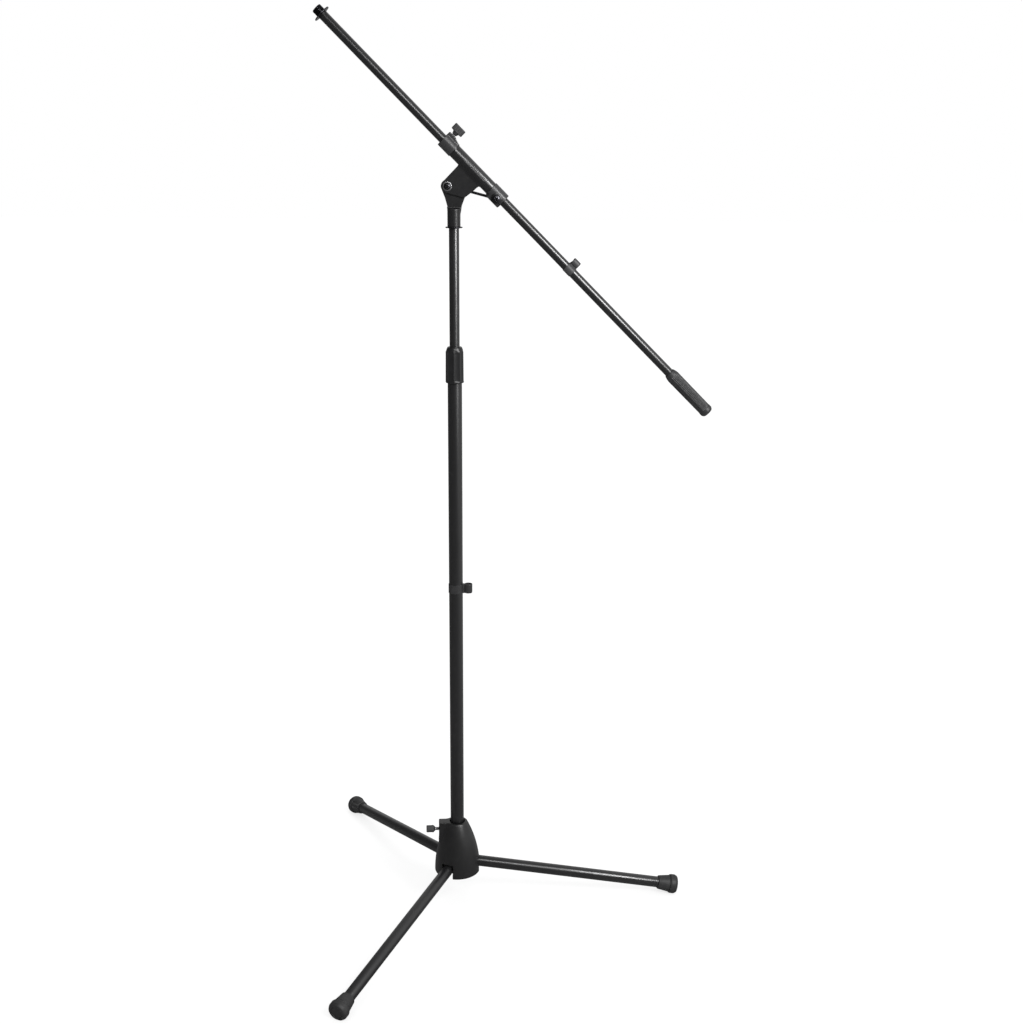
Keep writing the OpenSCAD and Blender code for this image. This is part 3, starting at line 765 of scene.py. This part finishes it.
def cross_bar():
    def field(p):
        hub = rod(p, 1, (0, 0, 0), 7.5, HUB_START, HUB_START + HUB_LENGTH, 0.9)
        waist = rod(p, 1, (0, 0, 0), 6.6, HUB_START - 1, HUB_START + 3.4, 0.3)
        collar = np.maximum(hub, np.where(p[1] < HUB_START + 3.2, waist, hub))
        solid = cut(collar, rod(p, 1, (0, 0, 0), 4.05, -20, 15.2), 0.2)
        return cut(solid, rod(p, 0, (0, BAR_Y, 0), 2.15, -20, 20), 0.3)

    near, far = HUB_START - 0.6, HUB_START + HUB_LENGTH + 0.6
    hub = cast((-8.2, near, -8.2), (8.2, far, 8.2), 0.3, field)
    piece = add_piece("cross_bar_hub", *hub, CROSS_BAR, "tbar_hub", 50)
    relaxed(piece, 2)
    path = rounded_path([
        (-10.4, 0), (-10.4, 2.9, 0.9), (-7.6, 2.9, 0.7), (-7.6, 2.1), (67.2, 2.1), (67.2, 2.9, 0.7),
        (70.0, 2.9, 1.2), (70.0, 0),
    ], 5)
    place = CROSS_BAR @ Matrix.Translation((0, BAR_Y, 0))
    add_piece("cross_bar_rod", *turned(path, False, 48), place, "tbar_rod", 40)


# ---------------------------------------------------------------- clamp screws

def knob_field(p, neck, deep):
    """Oval thumb knob on a cone neck, with finger ribs on its long sides; its seat is at z = 0."""
    half_wide, half_narrow = 10.0, 6.1
    corner = 4.0
    d = np.sqrt(p[0] ** 2 + p[1] ** 2)
    middle = (neck + 1.7) / 2
    cone = capped(d - 3.6 - np.clip(p[2], 0, neck + 1) * 1.8 / neck, np.abs(p[2] - middle) - middle)
    flat = box((p[0], p[1], 0 * p[2]), (0, 0, 0), (half_wide, half_narrow, 9), corner)
    on_rim = (np.abs(p[1]) > 3.5) * (np.abs(p[0]) < 7.5)
    ribs = 0.28 * (0.5 + 0.5 * np.cos(2 * math.pi * p[0] / 2.2)) * on_rim
    slab = capped(flat + 1.3 + ribs, np.abs(p[2] - neck - deep / 2) - deep / 2 + 1.3) - 1.3
    solid = blend_in(cone, slab, 1.6)
    dish = np.sqrt(p[0] ** 2 + p[1] ** 2 + (p[2] - neck - deep - 11.2) ** 2) - 12.0
    solid = cut(solid, dish, 0.5)
    return cut(solid, rod(p, 2, (0, 0, 0), 2.95, -2, neck + 6.5), 0.1)


def screw_and_knob(prefix, place, screw_node, knob_node, seat, start, neck, deep):
    end = seat + neck + 5
    field = lambda p: knob_field(p, neck, deep)
    knob = add_piece(prefix + "_thumb_knob", *cast((-11, -7.2, -0.8), (11, 7.2, 16.3), 0.33, field),
                     place @ Matrix.Translation((0, 0, seat)), knob_node, 60)
    relaxed(knob, 2)
    pitch = 1.0
    shank = [(start, 0), (start, 2.4, 0.2), (start + 0.5, 2.95), (end, 2.95), (end, 0)]
    path = refined(rounded_path(shank, 3), pitch / 10)
    warp = lambda x, a, r: np.where(r > 2.6, thread_warp(2.35, pitch, start, seat)(x, a, r), r)
    along_z = basis((0, 0, 0), Z, X, Y)
    along_z = Matrix([[v / MM if c < 3 else v for c, v in enumerate(row)] for row in along_z])
    add_piece(prefix + "_threaded_stem", *turned(path, False, 48, warp), place @ along_z, screw_node, 35)


def clamp_screws():
    turned_knob = BASE_SCREW @ Matrix.Rotation(math.radians(-29), 4, "Z")
    screw_and_knob("base", turned_knob, "base_screw", "base_screw_knob", 38.6, 13.55, 2.6, 12.7)
    screw_and_knob("boom", BOOM_SCREW, "boom_screw", "boom_screw_knob", 16.2, 9.38, 4.7, 10.6)


# ---------------------------------------------------------------- boom

def boom():
    lo, hi = -306.0, 530.0
    add_piece("boom_tube_shell", *turned(tube_path(lo, hi, 7.25, 6.25), True), BOOM, "boom_tube")
    stud("mic_thread_stud", BOOM, "boom_tip_stud", -318.7, -307.6, -306.0, 13.8, 7.9375, 0.94, 6.25, -284.0)


SEAM_ANGLE = math.radians(197)


def counterweight():
    end = 542.7
    start = end - 90.9
    path = rounded_path([
        (start, 7.25), (start, 8.4, 0.5), (start + 5.0, 10.0, 2.0), (start + 9, 10.6, 3.0),
        (end - 9.4, 10.3, 0.4), (end - 8.6, 10.7, 0.5), (end - 3.6, 10.7, 2.8), (end, 8.4, 2.4), (end, 0),
    ], 6)
    inner = np.array([[end - 12.7, 0], [end - 12.7, 7.25]])
    path = refined(np.vstack([inner, path]), 1.5)

    def fade(x):
        rise = step_between(x, start + 3.0, start + 12.0)
        return rise * (1 - step_between(x, end - 11.0, end - 9.0))

    def warp(x, angle, r):
        fine = 0.5 * (0.5 - 0.5 * np.cos(angle * 28)) * fade(x)
        from_seam = np.abs((angle - SEAM_ANGLE + math.pi) % (2 * math.pi) - math.pi) * 10.5
        seam = 0.9 * np.clip((1.6 - from_seam) / 0.9, 0, 1) * fade(x)
        return np.where(r > 8.0, r - fine + seam, r)

    add_piece("counterweight_shell", *turned(path, False, 336, warp), BOOM, "counterweight_grip", 30)


def hook_field(p, tube_r, band_r, half, lug_at, lug_r, bore_r, band_half, mouth_at):
    """A snap band round a tube (axis Z) with a cable hook on +X; mouth_at is the way its mouth faces."""
    d = np.sqrt(p[0] ** 2 + p[1] ** 2)
    band = capped(d - band_r + 0.3, np.abs(p[2]) - band_half + 0.3) - 0.3
    dx = (p[0] - lug_at) / 1.12
    loop = np.sqrt(dx ** 2 + p[1] ** 2) - lug_r
    edge = 1.6
    lug = capped(loop + edge, np.abs(p[2]) - half + edge) - edge
    neck = box(p, ((tube_r + lug_at) / 2 - 1, -1.0, 0), ((lug_at - tube_r) / 2, 2.6, half), 0.8)
    solid = blend_in(band, np.minimum(lug, neck), 1.4)
    hollow = np.sqrt(dx ** 2 + p[1] ** 2) - bore_r
    solid = cut(solid, np.where(p[0] > tube_r + 0.7, hollow, 9), 0.3)
    reach, half_mouth = bore_r + 2, bore_r * 0.6
    mouth = box(p, (lug_at + mouth_at[0] * reach, mouth_at[1] * reach, 0),
                (3.2 if mouth_at[0] else half_mouth, 3.2 if mouth_at[1] else half_mouth, 30), 0.4)
    solid = cut(solid, mouth, 0.4)
    return cut(solid, d - tube_r, 0.15)


def cable_clips():
    shaft = lambda p: hook_field(p, 11.5, 12.3, 7.9, 20.6, 6.6, 4.3, 7.6, (1, 0))
    piece = add_piece("shaft_clip_moulding", *cast((-14, -14, -9), (28.5, 14, 9), 0.4, shaft),
                      UPRIGHT @ Matrix.Translation((0, 0, 580.5)), "shaft_cable_clip", 60)
    relaxed(piece, 2)
    on_boom = lambda p: hook_field(p, 7.25, 8.0, 6.6, 13.2, 5.4, 3.6, 7.4, (0, -1))
    turn = basis((0, 0, 0), Z, Y * -1, X)
    turn = Matrix([[v / MM if c < 3 else v for c, v in enumerate(row)] for row in turn])
    piece = add_piece("boom_clip_moulding", *cast((-9.5, -9.5, -8.2), (20.2, 9.5, 8.2), 0.33, on_boom),
                      BOOM @ Matrix.Translation((222.85, 0, 0)) @ turn, "boom_cable_clip", 60)
    relaxed(piece, 2)


# ---------------------------------------------------------------- base

HOUSING_FOOT, HOUSING_TOP, HOUSING_R = 58.0, 152.0, 39.4
HINGE_R, HINGE_Z = 27.0, 74.6
LEG_R = 9.5


def housing_field(p):
    d = np.sqrt(p[0] ** 2 + p[1] ** 2)
    bulge_z, top_r = 60.0, 17.0
    rise, step = HOUSING_TOP - bulge_z, HOUSING_R - top_r
    flank_r = (rise ** 2 + step ** 2) / (2 * step)
    flank = np.sqrt((d - HOUSING_R + flank_r) ** 2 + np.maximum(p[2] - bulge_z, 0) ** 2) - flank_r
    corner = 1.6
    middle, half = (HOUSING_TOP + HOUSING_FOOT) / 2, (HOUSING_TOP - HOUSING_FOOT) / 2
    shell = capped(flank + corner, np.abs(p[2] - middle) - half + corner) - corner
    out = (BASE_OUT.x, BASE_OUT.y)
    along = p[0] * out[0] + p[1] * out[1]
    across = -p[0] * out[1] + p[1] * out[0]
    boss = box((along, across, p[2]), (16, 0, 134), (16, 9, 18), 1.4)
    solid = blend_in(shell, boss, 4.5)
    solid = np.maximum(solid, np.abs(p[2] - middle) - half)
    inner_r = np.interp(p[2], [84, 104, 108.5], [HOUSING_R - 4.2, HOUSING_R - 9, 16])
    inner = np.maximum(np.maximum(d - inner_r, 16 - d), p[2] - 107.5)
    for name in LEGS:
        hinge = Vector(joints["leg_fold_" + name]["pos_m"])
        direction = Vector((hinge.x, hinge.y)).normalized()
        r = p[0] * direction.x + p[1] * direction.y
        s = -p[0] * direction.y + p[1] * direction.x
        inner = np.maximum(inner, -np.maximum(np.abs(s) - 15, -r))
        c, n = math.cos(LEG_TILT), math.sin(LEG_TILT)
        u = (r - HINGE_R) * c - (p[2] - HINGE_Z) * n
        w = (r - HINGE_R) * n + (p[2] - HINGE_Z) * c
        slot = box((u, s, w), (19, 0, -15.05), (30, LEG_R + 0.8, 24.95), 1.5)
        solid = cut(solid, slot, 0.8)
        pin = rod((u, s, w), 1, (0, 0, 0), 2.5, -16, 16)
        solid = cut(solid, pin, 0.1)
    solid = cut(solid, inner, 0.6)
    solid = cut(solid, rod(p, 2, (0, 0, 0), 11.58, 40, 200), 0.2)
    solid = cut(solid, rod(p, 2, (0, 0, 0), 13.1, HOUSING_TOP - 4, 200), 0.5)
    return cut(solid, rod((along, across, p[2] - BASE_SCREW_Z), 0, (0, 0, 0), 3.0, 9, 60), 0.5)


def base_housing():
    piece = add_piece("base_housing_shell", *cast((-40, -40, 56.5), (40, 40, 153.5), 0.75, housing_field),
                      UPRIGHT, "base_housing", 60)
    relaxed(piece, 3)


def legs():
    length = 370.0
    cap = length - 34.5
    bead = length - 13.5
    for name in LEGS:
        place = leg_place(name)
        add_piece("leg_tube_shell_" + name, *turned(tube_path(9.6, cap + 20, LEG_R, LEG_R - 1.2), True, 72),
                  place, "leg_tube_" + name)
        path = rounded_path([
            (cap + 20, LEG_R), (cap, LEG_R), (cap, LEG_R + 1.6, 0.6), (cap + 1.0, LEG_R + 2.3, 0.8),
            (bead - 2.0, 14.5, 0.8), (bead - 1.0, 13.9, 0.4), (bead - 0.2, 13.9, 0.3), (bead, 15.7, 0.7),
            (bead + 2.0, 16.5, 1.6), (length - 4.8, 16.5, 3.2), (length - 0.7, 14.5, 2.2),
            (length, 12.2, 0.8), (length, 10.9, 0.4), (length - 1.3, 10.4, 0.4), (length - 1.3, 0),
        ], 5)
        inner = np.array([[cap + 20, 0.0]])
        vertices, faces = turned(np.vstack([inner, path]), False, 120)
        piece = add_piece("foot_rubber_" + name, vertices, faces, place, "foot_" + name, 35)
        for vertex in piece.data.vertices:
            vertex.co.z = max(vertex.co.z, 0.0)


# ---------------------------------------------------------------- studio

FLOOR_GREY = 0.86
FLOOR_SHARE, FLOOR_GLOW = 0.3, 0.74     # of lit paint and of even glow, for the camera only


def softbox(name, location, target, wide, tall, power):
    light = bpy.data.lights.new(name, "AREA")
    light.shape = "RECTANGLE"
    light.size = wide
    light.size_y = tall
    light.energy = power
    lamp = bpy.data.objects.new(name, light)
    lamp.location = location
    lamp.rotation_euler = (Vector(target) - Vector(location)).to_track_quat("-Z", "Y").to_euler()
    bpy.context.scene.collection.objects.link(lamp)


def overhead(strength):
    """Even light on the floor, from a wide soft source straight above; it makes no highlights."""
    light = bpy.data.lights.new("overhead", "SUN")
    light.energy = strength
    light.angle = math.radians(150)
    lamp = bpy.data.objects.new("overhead", light)
    lamp.location = (0, 0, 3)
    lamp.visible_glossy = False
    bpy.context.scene.collection.objects.link(lamp)


def seen_by(material_tree, plain, mirrored, output):
    """Uses one shader for the camera and soft light, and another for reflections."""
    path = material_tree.nodes.new("ShaderNodeLightPath")
    mix = material_tree.nodes.new("ShaderNodeMixShader")
    material_tree.links.new(path.outputs["Is Glossy Ray"], mix.inputs["Fac"])
    material_tree.links.new(plain, mix.inputs[1])
    material_tree.links.new(mirrored, mix.inputs[2])
    material_tree.links.new(mix.outputs[0], output)


MIRRORED_DARK, MIRRORED_FLOOR, MIRRORED_SKY = 0.08, 0.30, 0.60


def behind_right(tree, vector, low, high, out_low, out_high):
    """Grows from out_low to out_high along the way that points behind and right of the stand."""
    dot = tree.nodes.new("ShaderNodeVectorMath")
    dot.operation = "DOT_PRODUCT"
    dot.inputs[1].default_value = (0.78, 0.62, 0.0)
    tree.links.new(vector, dot.inputs[0])
    ramp = tree.nodes.new("ShaderNodeMapRange")
    for key, number in zip(RANGE_INPUTS, (low, high, out_low, out_high)):
        ramp.inputs[key].default_value = number
    tree.links.new(dot.outputs["Value"], ramp.inputs["Value"])
    return ramp.outputs["Result"]


def even_white(tree, place):
    """For the camera only, evens the floor's brightness out to a plain white with faint shadows."""
    seen = tree.nodes.new("ShaderNodeLightPath").outputs["Is Camera Ray"]
    split = tree.nodes.new("ShaderNodeSeparateXYZ")
    tree.links.new(place, split.inputs[0])
    reach = tree.nodes.new("ShaderNodeMapRange")
    reach.inputs["From Min"].default_value = -0.3
    reach.inputs["From Max"].default_value = 9.7
    tree.links.new(split.outputs["Y"], reach.inputs["Value"])
    ramp = tree.nodes.new("ShaderNodeValToRGB")
    stops = ramp.color_ramp.elements
    stops.new(0.108)
    stops.new(0.283)
    for stop, grey in zip(stops, (0.585, 0.663, 0.735, 0.785)):
        stop.color = (*[grey * FLOOR_SHARE] * 3, 1)
    tree.links.new(reach.outputs["Result"], ramp.inputs["Fac"])
    mix = tree.nodes.new("ShaderNodeMix")
    mix.data_type = "RGBA"
    tree.links.new(seen, mix.inputs["Factor"])
    mix.inputs["A"].default_value = (*[FLOOR_GREY] * 3, 1)
    tree.links.new(ramp.outputs["Color"], mix.inputs["B"])
    shader = tree.nodes["Principled BSDF"]
    tree.links.new(mix.outputs["Result"], shader.inputs["Base Color"])
    shader.inputs["Emission Color"].default_value = (1, 1, 1, 1)
    glow = tree.nodes.new("ShaderNodeMath")
    glow.operation = "MULTIPLY"
    tree.links.new(seen, glow.inputs[0])
    glow.inputs[1].default_value = FLOOR_GLOW
    tree.links.new(glow.outputs[0], shader.inputs["Emission Strength"])


def studio():
    floor = bpy.data.meshes.new("studio_floor")
    floor.from_pydata([(-12, -8, 0), (12, -8, 0), (12, 18, 0), (-12, 18, 0)], [], [(0, 1, 2, 3)])
    material = floor_paint()
    tree = material.node_tree
    dim = tree.nodes.new("ShaderNodeBsdfDiffuse")
    place = tree.nodes.new("ShaderNodeNewGeometry").outputs["Position"]
    even_white(tree, place)
    shade = behind_right(tree, place, -0.2, 2.0, MIRRORED_DARK, MIRRORED_FLOOR)
    tree.links.new(shade, dim.inputs["Color"])
    seen_by(tree, tree.nodes["Principled BSDF"].outputs[0], dim.outputs[0],
            tree.nodes["Material Output"].inputs["Surface"])
    floor.materials.append(material)
    plane = bpy.data.objects.new("studio_floor", floor)
    bpy.context.scene.collection.objects.link(plane)

    world = bpy.data.worlds.new("studio")
    world.use_nodes = True
    bpy.context.scene.world = world
    tree = world.node_tree
    bright = tree.nodes["Background"]
    bright.inputs["Color"].default_value = (1, 1, 1, 1)
    bright.inputs["Strength"].default_value = 1.0
    dark = tree.nodes.new("ShaderNodeBackground")
    dark.inputs["Color"].default_value = (1, 1, 1, 1)
    direction = tree.nodes.new("ShaderNodeTexCoord").outputs["Generated"]
    sky = behind_right(tree, direction, 0.0, 0.55, MIRRORED_DARK, MIRRORED_SKY)
    tree.links.new(sky, dark.inputs["Strength"])
    seen_by(tree, bright.outputs[0], dark.outputs[0], tree.nodes["World Output"].inputs["Surface"])

    overhead(1.2)
    softbox("key_softbox", (1.46, -1.42, 1.78), (0.05, 0, 1.1), 0.5, 1.05, 44)
    softbox("high_softbox", (0.50, -2.2, 2.5), (0.15, 0, 0.2), 0.9, 0.5, 19)


CAMERA_AT = (0.0923, -2.1773, 1.3228)
CAMERA_PITCH, CAMERA_ROLL = 15.68, -0.34      # degrees, down and about the line of sight
CAMERA_LENS = 48.537                          # mm, on a 36 mm sensor
CAMERA_SHIFT = 0.00039


def camera():
    data = bpy.data.cameras.new("camera")
    data.sensor_width = 36.0
    data.lens = CAMERA_LENS
    data.shift_x = -CAMERA_SHIFT
    data.shift_y = CAMERA_SHIFT
    data.clip_end = 50
    eye = bpy.data.objects.new("camera", data)
    pitch, roll = math.radians(CAMERA_PITCH), math.radians(CAMERA_ROLL)
    level_up = Vector((0, math.sin(pitch), math.cos(pitch)))
    back = Vector((0, -math.cos(pitch), math.sin(pitch)))
    right = X * math.cos(roll) - level_up * math.sin(roll)
    up = X * math.sin(roll) + level_up * math.cos(roll)
    m = Matrix.Identity(4)
    for column, axis in enumerate((right, up, back)):
        for row in range(3):
            m[row][column] = axis[row]
    m.translation = Vector(CAMERA_AT)
    eye.matrix_world = m
    bpy.context.scene.collection.objects.link(eye)
    bpy.context.scene.camera = eye
    bpy.context.scene.view_settings.view_transform = "Standard"


# ---------------------------------------------------------------- build

paint_cad_nodes()
shaft_tubes()
clutch_grip()
shaft_top()
swivel_head()
boom_bracket()
sleeve()
front_collar()
rear_collar()
rear_screw()
tilt_bolt()
tilt_washers()
cross_bar()
clamp_screws()
boom()
counterweight()
cable_clips()
base_housing()
legs()
studio()
camera()
